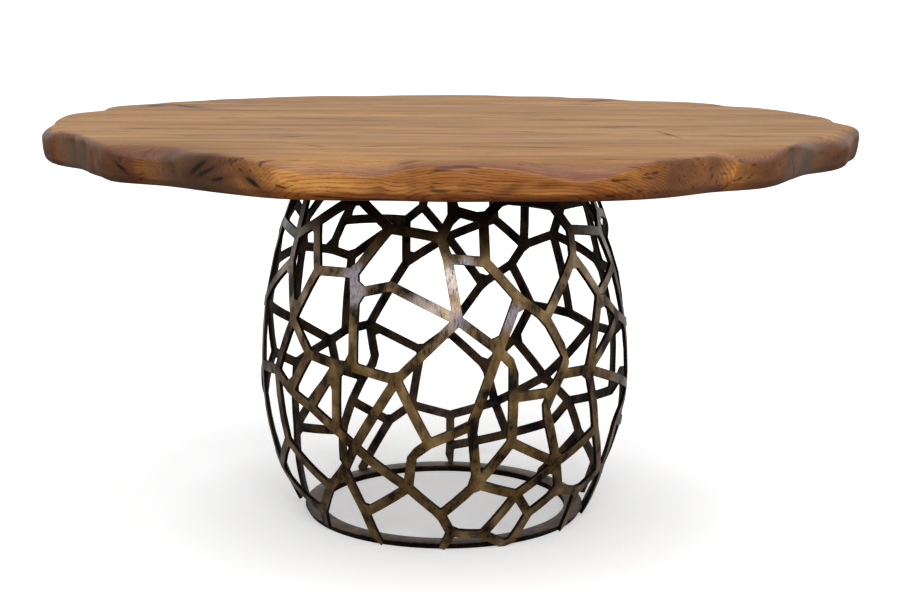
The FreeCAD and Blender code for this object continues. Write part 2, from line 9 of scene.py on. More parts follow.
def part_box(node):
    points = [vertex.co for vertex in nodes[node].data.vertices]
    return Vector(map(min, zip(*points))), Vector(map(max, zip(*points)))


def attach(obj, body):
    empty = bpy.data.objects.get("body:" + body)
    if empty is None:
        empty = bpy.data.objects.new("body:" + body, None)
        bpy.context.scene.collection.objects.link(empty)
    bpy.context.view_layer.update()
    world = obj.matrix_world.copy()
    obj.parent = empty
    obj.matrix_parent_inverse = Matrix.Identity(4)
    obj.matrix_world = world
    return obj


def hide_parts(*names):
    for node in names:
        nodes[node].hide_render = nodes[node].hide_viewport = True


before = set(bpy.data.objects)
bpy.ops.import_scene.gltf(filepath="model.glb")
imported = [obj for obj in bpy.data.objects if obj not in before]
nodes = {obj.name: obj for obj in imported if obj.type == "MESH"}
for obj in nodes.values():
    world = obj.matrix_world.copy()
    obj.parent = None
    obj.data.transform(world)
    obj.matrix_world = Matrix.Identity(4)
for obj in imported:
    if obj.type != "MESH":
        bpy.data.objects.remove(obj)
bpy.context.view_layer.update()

# The top is nine planks of old chestnut glued edge to edge over loose tongues, cut round, and carved by
# hand along the edge into lobes and hollows: here a crisp arris, there a wide worn shoulder.
# It is sanded smooth and finished with a satin oil, which the end grain soaks up and goes darker with.
MM = 0.001
BOARDS = [f"top_board_{number}" for number in range(1, 10)]
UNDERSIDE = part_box("top_board_5")[0].z
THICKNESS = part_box("top_board_5")[1].z - UNDERSIDE
CAD_ROUND = 16 * MM
LEVEL_SLACK = 0.2 * MM
EDGE_POINTS = 1440

# The outline of the carved edge is read from the boards, at the height where their upright wall ends
wall_top = UNDERSIDE + THICKNESS - CAD_ROUND
corners = [vert.co for name in BOARDS for vert in nodes[name].data.vertices]
wall = np.array([corner for corner in corners if abs(corner.z - wall_top) < LEVEL_SLACK])
wall = wall[np.argsort(np.arctan2(wall[:, 1], wall[:, 0]))]
wall_turns = np.arctan2(wall[:, 1], wall[:, 0])
wall_radii = np.hypot(wall[:, 0], wall[:, 1])

# Along the edge: degrees of turn, then width, drop and roundness of the worn upper shoulder (mm, mm, power)
SHOULDERS = [(0, 15, 11, 2), (8, 14, 10, 2), (27, 24, 13, 2), (35, 14, 8, 2), (42, 26, 14, 2),
             (54, 16, 9, 2), (61, 24, 13, 2), (67, 14, 8, 2), (71, 24, 13, 2), (76, 14, 8, 2),
             (86, 26, 13, 2), (105, 18, 10, 2), (116, 28, 14, 2), (127, 18, 9, 2), (132, 26, 13, 2),
             (137, 14, 8, 2), (142, 26, 13, 2), (147, 14, 9, 2), (153, 16, 12, 2), (162, 12, 9, 2),
             (168, 14, 10, 2), (180, 12, 9, 2), (189, 12, 9, 2), (194, 24, 15, 2), (199, 30, 18, 2),
             (203, 16, 10, 1.8), (213, 14, 9, 1.8), (220, 12, 8, 2), (224, 20, 14, 1.5),
             (228, 30, 20, 1.3), (232, 34, 24, 1.4), (236, 22, 14, 1.8), (239, 11, 7, 2), (246, 10, 6, 2),
             (250, 26, 14, 1.8), (254, 44, 24, 1.6), (258, 46, 20, 1.7), (261, 44, 26, 1.4),
             (264, 42, 20, 1.5), (267, 20, 10, 1.8), (274, 18, 8, 2), (278, 26, 14, 1.8),
             (282, 42, 24, 1.5), (285.5, 50, 34, 1.4), (289, 46, 24, 1.5), (292, 26, 12, 1.8),
             (294, 10, 6, 2), (302, 9, 5, 2), (305, 22, 10, 1.8), (309, 42, 18, 1.6),
             (312.5, 44, 20, 1.6), (315, 18, 10, 1.7), (318, 7, 5, 2), (322.5, 8, 6, 2), (326, 20, 12, 2),
             (331, 42, 23, 2), (338, 46, 25, 2), (345, 34, 20, 2), (351, 18, 12, 2)]
# Narrow upright scoops of the gouge: degrees of turn, half width in degrees, depth in mm
FLUTES = [(33, 2.4, 3), (55, 3.2, 4), (107, 2.4, 4), (137, 2.4, 4), (163, 2.4, 5), (188, 3, 4),
          (204.8, 3.5, 11), (211.6, 3.3, 11), (231, 3.4, 6), (265, 2, 3), (305, 2.4, 3), (320.8, 3.6, 9),
          (357, 2.6, 5)]
EASE = np.radians(np.linspace(-0.9, 0.9, 7))
UNDER_ROUND = 12 * MM
BELLY = 3.5 * MM
UNDERCUT = 6 * MM
# Marks of the hand's work: depth, how far in they lie on the whole, how close they are around and up the
# edge, and how much closer and weaker the finer ones are
HAND_MARKS = 1.6 * MM
MARKS_IN = 0.8
MARKS_AROUND = 14
MARKS_UP = 1.6
FINER = 2.3
FINER_SHARE = 0.6
HOLLOW_SPAN = np.radians(np.linspace(-15, 15, 31))
HOLLOW_DEPTH = 13 * MM
# How much grey dirt has stayed in the hollows, by degrees of turn; towards the face it was wiped off
CLEAN_SHARE = 0.25
DIRT = [(0, 0.5), (30, 0.5), (170, 0.4), (190, 0.15), (201, 0.8), (216, 0.9), (220, 0.1), (312, 0.1),
        (317, 0.9), (327, 0.9), (333, 0.3)]


def along_edge(turns, column):
    """One column of the shoulder's table at many turns, eased between its rows."""
    rows = np.array(SHOULDERS)
    return np.mean([np.interp(turns + ease, np.radians(rows[:, 0]), rows[:, column], period=2 * math.pi)
                    for ease in EASE], axis=0)


def wall_radius(turns):
    return np.interp(turns, wall_turns, wall_radii, period=2 * math.pi)


def scooped(turns):
    """How deep the upright scoops are at each turn."""
    depths = 0 * turns
    for turn, half, depth in FLUTES:
        away = np.angle(np.exp(1j * (turns - math.radians(turn)))) / math.radians(half)
        depths = depths + depth * MM * np.clip(1 - away ** 2, 0, 1)
    return depths


def edge_ring(turns, stretch, amount):
    """How far in and how high one ring of the carved edge lies at each turn."""
    wide, drop, power = along_edge(turns, 1) * MM, along_edge(turns, 2) * MM, along_edge(turns, 3)
    quarter = amount / 100 * math.pi / 2
    if stretch == "under":
        return amount * MM + 0 * turns, 0 * turns
    if stretch == "face":
        return wide + BELLY + amount * MM, THICKNESS + 0 * turns
    if stretch == "foot":
        inset = UNDER_ROUND * (1 - math.sin(quarter))
        height = UNDER_ROUND * (1 - math.cos(quarter)) + 0 * turns
    elif stretch == "wall":
        inset, height = 0, UNDER_ROUND + amount / 100 * (THICKNESS - drop - UNDER_ROUND)
    else:
        inset = wide * (1 - math.cos(quarter) ** (2 / power))
        height = THICKNESS - drop * (1 - math.sin(quarter) ** (2 / power))
    level = height / THICKNESS
    carved = np.sin(math.pi * np.clip(level, 0, 1)) ** 0.5
    inset = inset + scooped(turns) * carved
    spots = np.stack([MARKS_AROUND * np.cos(turns), MARKS_AROUND * np.sin(turns), MARKS_UP * level], axis=1)
    marks = [noise.noise(spot) + FINER_SHARE * noise.noise(FINER * spot) for spot in map(Vector, spots)]
    inset = inset + BELLY * (2 * level - 1) ** 2 + UNDERCUT * (1 - level) ** 2
    inset = inset + HAND_MARKS * carved * (MARKS_IN + np.array(marks))
    return np.maximum(inset, 0), height


# Rings of the edge from below to above: which stretch of the section, and how far along it
SECTION = [("under", 45), ("under", 20)] + [("foot", share) for share in range(0, 101, 20)]
SECTION += [(stretch, share) for stretch in ("wall", "shoulder") for share in range(8, 101, 8)]
SECTION += [("face", reach) for reach in (0, 4, 10, 20, 40, 80)]

top_form = bmesh.new()
hollow = top_form.verts.layers.float.new("hollow")
bmesh.ops.create_circle(top_form, segments=EDGE_POINTS, radius=1, cap_ends=False)
ring_verts, ring_edges = top_form.verts[:], top_form.edges[:]
for step, (stretch, amount) in enumerate(SECTION):
    if step:
        grown = bmesh.ops.extrude_edge_only(top_form, edges=ring_edges)["geom"]
        ring_verts = [part for part in grown if isinstance(part, bmesh.types.BMVert)]
        fresh = set(ring_verts)
        ring_edges = [part for part in grown
                      if isinstance(part, bmesh.types.BMEdge) and fresh.issuperset(part.verts)]
    turns = np.array([math.atan2(vert.co.y, vert.co.x) for vert in ring_verts])
    inset, height = edge_ring(turns, stretch, amount)
    around = np.mean([wall_radius(turns + away) for away in HOLLOW_SPAN], axis=0)
    sunk = np.clip((around - wall_radius(turns) + scooped(turns)) / HOLLOW_DEPTH, 0, 1)
    sunk = sunk * np.clip((1 - height / THICKNESS) / CLEAN_SHARE, 0, 1)
    dirt_turns, dirt_shares = np.array(DIRT).T
    sunk = sunk * np.interp(turns, np.radians(dirt_turns), dirt_shares, period=2 * math.pi)
    for vert, turn, reach, rise, deep in zip(ring_verts, turns, wall_radius(turns) - inset, height, sunk):
        vert.co = (reach * math.cos(turn), reach * math.sin(turn), UNDERSIDE + rise)
        vert[hollow] = deep
    if step in (0, len(SECTION) - 1):
        bmesh.ops.edgeloop_fill(top_form, edges=ring_edges)
bmesh.ops.recalc_face_normals(top_form, faces=top_form.faces)
for face in top_form.faces:
    face.smooth = True


def linear(hex_colour):
    """A written sRGB colour as linear light."""
    shares = [int(hex_colour[at:at + 2], 16) / 255 for at in (1, 3, 5)]
    return [share / 12.92 if share <= 0.04045 else ((share + 0.055) / 1.055) ** 2.4 for share in shares] + [1]


def add(tree, kind, links=None, **settings):
    """One node of a material, with its settings and its inputs, and its first usable output."""
    made = tree.nodes.new("ShaderNode" + kind)
    for name, value in settings.items():
        setattr(made, name, value)
    for name, value in (links or {}).items():
        if isinstance(value, bpy.types.NodeSocket):
            tree.links.new(value, made.inputs[name])
        else:
            made.inputs[name].default_value = value
    return [socket for socket in made.outputs if socket.enabled][0]


def blank_material(name):
    """A named material with only its shader, and the place on the piece in millimetres."""
    material = bpy.data.materials.new(name)
    material.use_nodes = True
    tree = material.node_tree
    place = add(tree, "TexCoord").node.outputs["Object"]
    spot_mm = add(tree, "Mapping", {"Vector": place, "Scale": (1 / MM, 1 / MM, 1 / MM)})
    return material, tree, tree.nodes["Principled BSDF"], spot_mm


# Oiled chestnut, sawn along the log: growth rings round each plank's own heart, so the faces show long
# straight streaks and the carved places show contour lines and arcs. The real rings are about 3 mm wide.
# Pores are drawn coarser than the real 0.3 mm, to show.
chestnut, tree, shader, spot_mm = blank_material("oiled_chestnut")
heart = add(tree, "Attribute", attribute_name="heart_mm").node.outputs["Vector"]
place = add(tree, "VectorMath", {0: spot_mm, 1: heart}, operation="SUBTRACT")
for sway, along, across in ((26, 900, 190), (4, 170, 40), (1, 45, 12)):
    stretched = add(tree, "Mapping", {"Vector": place, "Scale": (1 / along, 1 / across, 1 / across)})
    wander = add(tree, "TexNoise", {"Vector": stretched, "Scale": 1, "Detail": 1}).node.outputs["Color"]
    wander = add(tree, "VectorMath", {0: wander, 1: (0.5, 0.5, 0.5)}, operation="SUBTRACT")
    wander = add(tree, "VectorMath", {0: wander, 1: (0, 2 * sway, 2 * sway)}, operation="MULTIPLY")
    place = add(tree, "VectorMath", {0: place, 1: wander}, operation="ADD")
# Knots that push the rings aside: place, reach and how far they lift the rings (mm), and how dark they are
KNOT_LENGTH = 1.7
KNOTS_MM = [(-372, -640, 733, 66, 24, 0.5), (-505, -520, 722, 46, 16, 0.25),
            (-255, -690, 752, 40, 12, 0.1), (-450, -590, 722, 150, 9, 0.6),
            (590, -478, 735, 55, -18, 0.1), (-60, -735, 758, 40, 8, 0), (280, -690, 756, 50, 10, 0)]
knotted = 0.0
for x, y, z, reach, lift, dark in KNOTS_MM:
    own = add(tree, "Mapping", {"Vector": spot_mm, "Location": (x, y, z),
                                "Scale": (KNOT_LENGTH * reach, reach, reach)}, vector_type="TEXTURE")
    away = add(tree, "VectorMath", {0: own}, operation="LENGTH").node.outputs["Value"]
    swell = add(tree, "MapRange", {"Value": away, "From Min": 1, "From Max": 0},
                interpolation_type="SMOOTHSTEP")
    push = add(tree, "VectorMath", {0: (0, 0, lift), "Scale": swell}, operation="SCALE")
    place = add(tree, "VectorMath", {0: place, 1: push}, operation="ADD")
    knotted = add(tree, "Math", {0: swell, 1: dark, 2: knotted}, operation="MULTIPLY_ADD")
RING_MM = 3.1
WAVE_PERIOD = 0.314
rings = add(tree, "TexWave", {"Vector": place, "Scale": WAVE_PERIOD / RING_MM, "Distortion": 0},
            wave_type="RINGS", rings_direction="X", wave_profile="SAW").node.outputs["Fac"]
spring = add(tree, "MapRange", {"Value": rings, "From Min": 0.42, "From Max": 0.04},
             interpolation_type="SMOOTHSTEP")
patch_space = add(tree, "Mapping", {"Vector": place, "Scale": (1 / 420, 1 / 55, 1 / 55)})
patches = add(tree, "TexNoise", {"Vector": patch_space, "Scale": 1, "Detail": 2})
patches = add(tree, "MapRange", {"Value": patches, "From Min": 0.36, "From Max": 0.64})
strong = add(tree, "MapRange", {"Value": patches, "To Min": 1, "To Max": 0.62})
spring = add(tree, "Math", {0: spring, 1: strong}, operation="MULTIPLY")
wood = add(tree, "Mix", {"Factor": spring, "A": linear("#C48A4A"), "B": linear("#5E3118")}, data_type="RGBA")
for along, across, dark, pale in ((380, 16, "#86552A", "#C29256"), (240, 4.5, "#764722", "#CA9C62")):
    streak_space = add(tree, "Mapping", {"Vector": place, "Scale": (1 / along, 1 / across, 1 / across)})
    streaks = add(tree, "TexNoise", {"Vector": streak_space, "Scale": 1, "Detail": 3, "Roughness": 0.6})
    streaked = add(tree, "MapRange", {"Value": streaks, "From Min": 0.34, "From Max": 0.66})
    tint = add(tree, "Mix", {"Factor": streaked, "A": linear(dark), "B": linear(pale)}, data_type="RGBA")
    wood = add(tree, "Mix", {"Factor": 0.36, "A": wood, "B": tint}, data_type="RGBA")
cloud = add(tree, "Mix", {"Factor": patches, "A": linear("#C0AE9F"), "B": linear("#FFFFFF")},
            data_type="RGBA")
wood = add(tree, "Mix", {"Factor": 1.0, "A": wood, "B": cloud}, data_type="RGBA", blend_type="MULTIPLY")
pore_space = add(tree, "Mapping", {"Vector": place, "Scale": (1 / 8, 1 / 1.2, 1 / 1.2)})
pores = add(tree, "TexNoise", {"Vector": pore_space, "Scale": 1, "Detail": 0})
pores = add(tree, "MapRange", {"Value": pores, "From Min": 0.52, "From Max": 0.66})
pores = add(tree, "Math", {0: pores, 1: spring}, operation="MULTIPLY")
wood = add(tree, "Mix", {"Factor": pores, "A": wood, "B": linear("#5A351A")}, data_type="RGBA")
vein_space = add(tree, "Mapping", {"Vector": place, "Scale": (1 / 120, 1 / 8, 1 / 8)})
veins = add(tree, "TexNoise", {"Vector": vein_space, "Scale": 1, "Detail": 1})
veins = add(tree, "MapRange", {"Value": veins, "From Min": 0.64, "From Max": 0.71, "To Max": 0.85})
wood = add(tree, "Mix", {"Factor": veins, "A": wood, "B": linear("#3A2110")}, data_type="RGBA")
wood = add(tree, "Mix", {"Factor": knotted, "A": wood, "B": linear("#3E2110")}, data_type="RGBA")

# The flat face is worn to a pale tan, the shoulders get a painted pink sheen, and the wall keeps the gold of
# the oil and is painted darker, as shade, where it faces down; the end grain is darker and gets a painted
# grey sheen, and grey dirt has stayed in the hollows
facing = add(tree, "NewGeometry").node.outputs["Normal"]
upward = add(tree, "SeparateXYZ", {0: facing}).node.outputs["Z"]
sloped, flat, under = [add(tree, "MapRange", {"Value": upward, "From Min": start, "From Max": full},
                           interpolation_type="SMOOTHSTEP")
                       for start, full in ((0.1, 0.6), (0.8, 0.995), (-0.1, -0.36))]
gold = add(tree, "Mix", {"Factor": 1.0, "A": wood, "B": linear("#92874F")}, data_type="RGBA",
           blend_type="DODGE")
# Painted shade: the wall is drawn darker where it faces down
painted_under_shade = add(tree, "Mix", {"Factor": 1.0, "A": gold, "B": linear("#B09884")}, data_type="RGBA",
          blend_type="MULTIPLY")
# Painted sheen: shoulders that face up are tinted pink, standing for the lamp's reflection on the oil
painted_sheen = add(tree, "Mix", {"Factor": 0.2, "A": wood, "B": linear("#8C6E7A")}, data_type="RGBA")
faded = add(tree, "Mix", {"Factor": 0.22, "A": wood, "B": linear("#C29C68")}, data_type="RGBA")
wood = add(tree, "Mix", {"Factor": under, "A": gold, "B": painted_under_shade}, data_type="RGBA")
wood = add(tree, "Mix", {"Factor": sloped, "A": wood, "B": painted_sheen}, data_type="RGBA")
wood = add(tree, "Mix", {"Factor": flat, "A": wood, "B": faded}, data_type="RGBA")
facing = add(tree, "VectorMath", {0: facing}, operation="ABSOLUTE")
endwise = add(tree, "SeparateXYZ", {0: facing}).node.outputs["X"]
endwise = add(tree, "MapRange", {"Value": endwise, "From Min": 0.2, "From Max": 0.62},
              interpolation_type="SMOOTHSTEP")
# The end grain soaks up the oil and goes darker, and is mixed towards grey as a painted sheen
soaked_and_sheen = add(tree, "Mix", {"Factor": 1.0, "A": wood, "B": linear("#BEAA9A")}, data_type="RGBA",
             blend_type="MULTIPLY")
soaked_and_sheen = add(tree, "Mix", {"Factor": 0.22, "A": soaked_and_sheen, "B": linear("#806A56")}, data_type="RGBA")
wood = add(tree, "Mix", {"Factor": endwise, "A": wood, "B": soaked_and_sheen}, data_type="RGBA")
sunk = add(tree, "Attribute", attribute_name="hollow").node.outputs["Fac"]
sunk = add(tree, "Math", {0: sunk, 1: 0.7}, operation="MULTIPLY")
wood = add(tree, "Mix", {"Factor": sunk, "A": wood, "B": linear("#6E6155")}, data_type="RGBA")

# Checks and filled knots: place (mm), heading and slope (degrees), then half sizes along, across and up (mm)
CHECKS = [(-386, -33, 762, 0, 0, 24, 3, 5), (8, -144, 762, 0, 0, 40, 3, 5),
          (-104, -514, 762, 19, 0, 28, 3, 5), (-207, -514, 762, -40, 0, 16, 3, 5),
          (48, -523, 762, 0, 0, 30, 3, 5), (-538, -207, 762, 0, 0, 24, 4, 5),
          (145, -238, 762, -26, 0, 26, 3, 5), (157, -523, 762, 0, 0, 24, 3, 5),
          (307, -133, 762, 25, 0, 30, 4, 5), (298, 441, 762, 0, 0, 20, 6, 5),
          (-432, -345, 762, 0, 0, 22, 4, 5), (-263, -354, 762, 30, 0, 22, 4, 5),
          (-425, 441, 762, 0, 0, 20, 6, 5), (580, 426, 762, 24, 0, 38, 6, 5),
          (510, -316, 762, -28, 0, 22, 3, 5), (390, -277, 762, -80, 0, 40, 3, 5),
          (-611, 353, 762, 72, 0, 32, 12, 6), (-543, 340, 762, -53, 0, 56, 9, 6),
          (341, 566, 762, 54, 0, 42, 8, 6)]
WALL_CHECK_DEPTH = 14


def edge_check(turn, above, to_turn, to_above, half_width):
    """A check on the carved wall, from one turn and height above the underside to another."""
    middle = math.radians((turn + to_turn) / 2)
    radius = float(wall_radius(middle)) / MM
    run = math.radians(to_turn - turn) * radius
    rise = to_above - above
    return (radius * math.cos(middle), radius * math.sin(middle), UNDERSIDE / MM + (above + to_above) / 2,
            math.degrees(middle) + 90, math.degrees(math.atan2(rise, run)), math.hypot(run, rise) / 2,
            WALL_CHECK_DEPTH, half_width)


CHECKS += [edge_check(*row) for row in ((224.2, 40, 227.2, 10, 4), (236.2, 19, 240.9, 56, 6),
                                        (237.5, 20, 242.4, 45, 4), (240.3, 18, 243.6, 28, 4),
                                        (246.2, 36, 249, 14, 6), (322.2, 34, 323, 3, 1.4))]
ragged_space = add(tree, "Mapping", {"Vector": spot_mm, "Scale": (1 / 14, 1 / 5, 1 / 5)})
ragged = add(tree, "TexNoise", {"Vector": ragged_space, "Scale": 1, "Detail": 2}).node.outputs["Color"]
ragged = add(tree, "VectorMath", {0: ragged, 1: (0.5, 0.5, 0.5)}, operation="SUBTRACT")
ragged = add(tree, "VectorMath", {0: ragged, 1: (6, 5, 5), 2: spot_mm}, operation="MULTIPLY_ADD")
nearest = None
for x, y, z, heading, slope, *half_sizes in CHECKS:
    own = add(tree, "Mapping", {"Vector": ragged, "Location": (x, y, z), "Scale": half_sizes,
                                "Rotation": (0, -math.radians(slope), math.radians(heading))},
              vector_type="TEXTURE")
    away = add(tree, "VectorMath", {0: own}, operation="LENGTH").node.outputs["Value"]
    nearest = away if nearest is None else add(tree, "Math", {0: nearest, 1: away}, operation="MINIMUM")
check = add(tree, "MapRange", {"Value": nearest, "From Min": 1.0, "From Max": 0.4},
            interpolation_type="SMOOTHSTEP")
stained = add(tree, "MapRange", {"Value": nearest, "From Min": 2.6, "From Max": 0.9, "To Max": 0.55})
wood = add(tree, "Mix", {"Factor": stained, "A": wood, "B": linear("#4E2D18")}, data_type="RGBA")
wood = add(tree, "Mix", {"Factor": check, "A": wood, "B": linear("#231C1A")}, data_type="RGBA")
tree.links.new(wood, shader.inputs["Base Color"])
tree.links.new(add(tree, "MapRange", {"Value": streaks, "To Min": 0.4, "To Max": 0.58}),
               shader.inputs["Roughness"])
shader.inputs["Specular IOR Level"].default_value = 0.05
shader.inputs["Coat Roughness"].default_value = 0.4
tree.links.new(add(tree, "MapRange", {"Value": flat, "To Min": 0.22, "To Max": 0}),
               shader.inputs["Coat Weight"])
grooves = add(tree, "Math", {0: pores, 1: check}, operation="ADD")
relief = add(tree, "Math", {0: rings, 1: grooves}, operation="SUBTRACT")
tree.links.new(add(tree, "Bump", {"Height": relief, "Strength": 0.35, "Distance": 0.6 * MM}),
               shader.inputs["Normal"])

# Where the heart of each plank's log was: across the plank and in height, in millimetres. Each plank is also
# taken from another length of the grain.
HEARTS_MM = [(-880, 590), (-640, 880), (-250, 600), (-190, 880), (30, 540), (120, 900), (370, 600),
             (470, 860), (700, 570)]
PLANK_SHIFT_MM = 1700
for number, name in enumerate(BOARDS):
    plank = top_form.copy()
    low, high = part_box(name)
    for seam, outward, is_seam in ((low.y, -1, number > 0), (high.y, 1, number < len(BOARDS) - 1)):
        if is_seam:
            whole = plank.verts[:] + plank.edges[:] + plank.faces[:]
            cut = bmesh.ops.bisect_plane(plank, geom=whole, clear_outer=True, plane_co=(0, seam, 0),
                                         plane_no=(0, outward, 0))["geom_cut"]
            rim = [part for part in cut if isinstance(part, bmesh.types.BMEdge)]
            bmesh.ops.edgeloop_fill(plank, edges=rim)
            for edge in rim:
                edge.smooth = False
    mesh = bpy.data.meshes.new("carved_" + name)
    plank.to_mesh(mesh)
    plank.free()
    heart_mm = (float(number * PLANK_SHIFT_MM), *HEARTS_MM[number])
    centre = mesh.attributes.new("heart_mm", "FLOAT_VECTOR", "POINT")
    centre.data.foreach_set("vector", np.tile(heart_mm, len(mesh.vertices)))
    mesh.materials.append(chestnut)
    carved = bpy.data.objects.new("carved_" + name, mesh)
    bpy.context.scene.collection.objects.link(carved)
    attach(carved, "root")
    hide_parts(name)
top_form.free()

# The tongues are loose strips of beech, glued into a groove in each joint between two planks, so that the
# planks stay level with each other. They are planed and left bare.
beech, tree, shader, spot_mm = blank_material("planed_beech")
fleck_space = add(tree, "Mapping", {"Vector": spot_mm, "Scale": (1 / 35, 1 / 1.6, 1 / 1.6)})
flecks = add(tree, "TexNoise", {"Vector": fleck_space, "Scale": 1, "Detail": 3, "Roughness": 0.6})
flecked = add(tree, "MapRange", {"Value": flecks, "From Min": 0.35, "From Max": 0.65})
bare_beech_and_highlight = add(tree, "Mix", {"Factor": flecked, "A": linear("#A67E4E"), "B": linear("#CDAA7A")}, data_type="RGBA")
tree.links.new(bare_beech_and_highlight, shader.inputs["Base Color"])
tree.links.new(add(tree, "MapRange", {"Value": flecks, "To Min": 0.55, "To Max": 0.75}),
               shader.inputs["Roughness"])
tree.links.new(add(tree, "Bump", {"Height": flecks, "Strength": 0.2, "Distance": 0.3 * MM}),
               shader.inputs["Normal"])
nodes["board_tongues"].data.materials.clear()
nodes["board_tongues"].data.materials.append(beech)

# The lattice is flat steel bar, rolled to the barrel's curve, mitred and welded at every junction, with the
# welds filled and ground flush. It was bronzed and washed dark, then the outside was rubbed back by hand,
# and the sides and the inside stayed nearly black.
BAR_THICKNESS = 7 * MM
BELLY_HEIGHT = 290 * MM
BELLY_RADIUS = 357 * MM
LOWER_ARC = 554 * MM
UPPER_ARC = 915 * MM
SAME_POINT = 0.1 * MM
bar_nodes = sorted(name for name in nodes if name.startswith("lattice_"))
foot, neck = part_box("floor_ring")[0].z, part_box("mounting_ring")[0].z
lattice = bmesh.new()
for name in bar_nodes:
    lattice.from_mesh(nodes[name].data)
bmesh.ops.remove_doubles(lattice, verts=lattice.verts, dist=SAME_POINT)


def barrel_normal(place):
    """Straight out of the barrel at one place on it."""
    lean = (place.z - BELLY_HEIGHT) / (LOWER_ARC if place.z < BELLY_HEIGHT else UPPER_ARC)
    return Vector((place.x, place.y, 0)).normalized() * math.sqrt(1 - lean ** 2) + Vector((0, 0, lean))


def above_skin(place):
    """How far outside the barrel a place is."""
    arc = LOWER_ARC if place.z < BELLY_HEIGHT else UPPER_ARC
    centre = Vector((place.x, place.y, 0)).normalized() * (BELLY_RADIUS - arc) + Vector((0, 0, BELLY_HEIGHT))
    return (place - centre).length - arc


def outwards(face):
    """How squarely a face looks out of the barrel: 1 straight out, -1 straight in."""
    return face.normal.dot(barrel_normal(face.calc_center_median()))


def open_edges(vert):
    return [edge for edge in vert.link_edges if edge.is_boundary]


def in_order(form):
    """The same form built again from its points in order of place, so that each run goes the same way."""
    points = sorted(form.verts, key=lambda vert: tuple(vert.co))
    numbers = {vert: number for number, vert in enumerate(points)}
    rounds = [[numbers[vert] for vert in face.verts] for face in form.faces]
    again = bmesh.new()
    verts = [again.verts.new(vert.co) for vert in points]
    for turn in sorted(turn[turn.index(min(turn)):] + turn[:turn.index(min(turn))] for turn in rounds):
        again.faces.new([verts[number] for number in turn])
    form.free()
    again.normal_update()
    return again


def bend(vert, first, second):
    """How far the outline of a bar turns at one of its points."""
    return math.pi - (first.other_vert(vert).co - vert.co).angle(second.other_vert(vert).co - vert.co)


# Only the outer skin of the bars is kept, and the hairline mitres between them are closed
SKIN_FACING = 0.6
MITRE_TURN = math.radians(170)
MITRE_EXCESS = 1.4
MITRE_GAP = 0.4 * MM
EVEN_SKIN = math.radians(1.6)
not_skin = [face for face in lattice.faces if not outwards(face) > SKIN_FACING]
bmesh.ops.delete(lattice, geom=not_skin, context="FACES")
split = {}
for vert in lattice.verts:
    for long in open_edges(vert):
        for short in open_edges(vert):
            doubled = long is not short and bend(vert, long, short) > MITRE_TURN
            if doubled and long.calc_length() > MITRE_EXCESS * short.calc_length():
                split[long] = True
bmesh.ops.subdivide_edges(lattice, edges=list(split), cuts=1)
bmesh.ops.remove_doubles(lattice, verts=[vert for vert in lattice.verts if open_edges(vert)], dist=MITRE_GAP)
bmesh.ops.dissolve_limit(lattice, angle_limit=EVEN_SKIN, use_dissolve_boundaries=True,
                         verts=lattice.verts[:], edges=lattice.edges[:], delimit=set())

# Each inner corner is filled and rounded by its weld, but not the cut ends at the foot and the neck
WELD_ROUND = 2.2 * MM
WELD_BEND = math.radians(50)
END_MARGIN = 6 * MM
CRUMB = 0.05 * MM
EVEN_WELD = math.radians(3)
welds = []
for vert in lattice.verts:
    outline = open_edges(vert)
    between_ends = foot + END_MARGIN < vert.co.z < neck - END_MARGIN
    if between_ends and len(outline) == 2 and bend(vert, *outline) > WELD_BEND:
        welds.append(vert)
bmesh.ops.bevel(lattice, geom=welds, offset=WELD_ROUND, offset_type="OFFSET", segments=4, profile=0.5,
                affect="VERTICES", clamp_overlap=False, material=-1)
bmesh.ops.dissolve_degenerate(lattice, dist=CRUMB, edges=lattice.edges[:])
lattice = in_order(lattice)
bmesh.ops.dissolve_limit(lattice, angle_limit=EVEN_WELD, use_dissolve_boundaries=False,
                         verts=lattice.verts[:], edges=lattice.edges[:], delimit=set())

# The skin gets a rim that falls away as a worn arris. Points that stray from the barrel go back to it, and
# short edges and the folds that the rim makes in tight corners are drawn together.
ARRIS = 0.7 * MM
STRAY = 1 * MM
SHORT_EDGES = (0.2 * MM, 0.5 * MM)
FOLD_SWEEPS = 4
FOLD_FACING = 0.3
HAIR = 0.01 * MM
bmesh.ops.inset_region(lattice, faces=lattice.faces[:], use_boundary=True, use_even_offset=True,
                       thickness=ARRIS)
worn = lattice.verts.layers.int.new("worn")
for edge in lattice.edges:
    if edge.is_boundary:
        for vert in edge.verts:
            vert[worn] = 1
for vert in lattice.verts:
    stray = above_skin(vert.co)
    vert.co -= barrel_normal(vert.co) * (ARRIS * vert[worn] + (stray if abs(stray) > STRAY else 0))
bmesh.ops.triangulate(lattice, faces=lattice.faces[:])
for least in SHORT_EDGES:
    loose = [edge for edge in lattice.edges if not any(vert[worn] for vert in edge.verts)]
    bmesh.ops.dissolve_degenerate(lattice, dist=least, edges=loose)
bmesh.ops.triangulate(lattice, faces=lattice.faces[:])
for sweep in range(FOLD_SWEEPS):
    lattice.normal_update()
    folded = [face for face in lattice.faces if outwards(face) < FOLD_FACING]
    creases = dict.fromkeys(min(face.edges, key=lambda edge: edge.calc_length()) for face in folded)
    bmesh.ops.collapse(lattice, edges=list(creases), uvs=False)
    bmesh.ops.dissolve_degenerate(lattice, dist=HAIR, edges=lattice.edges[:])

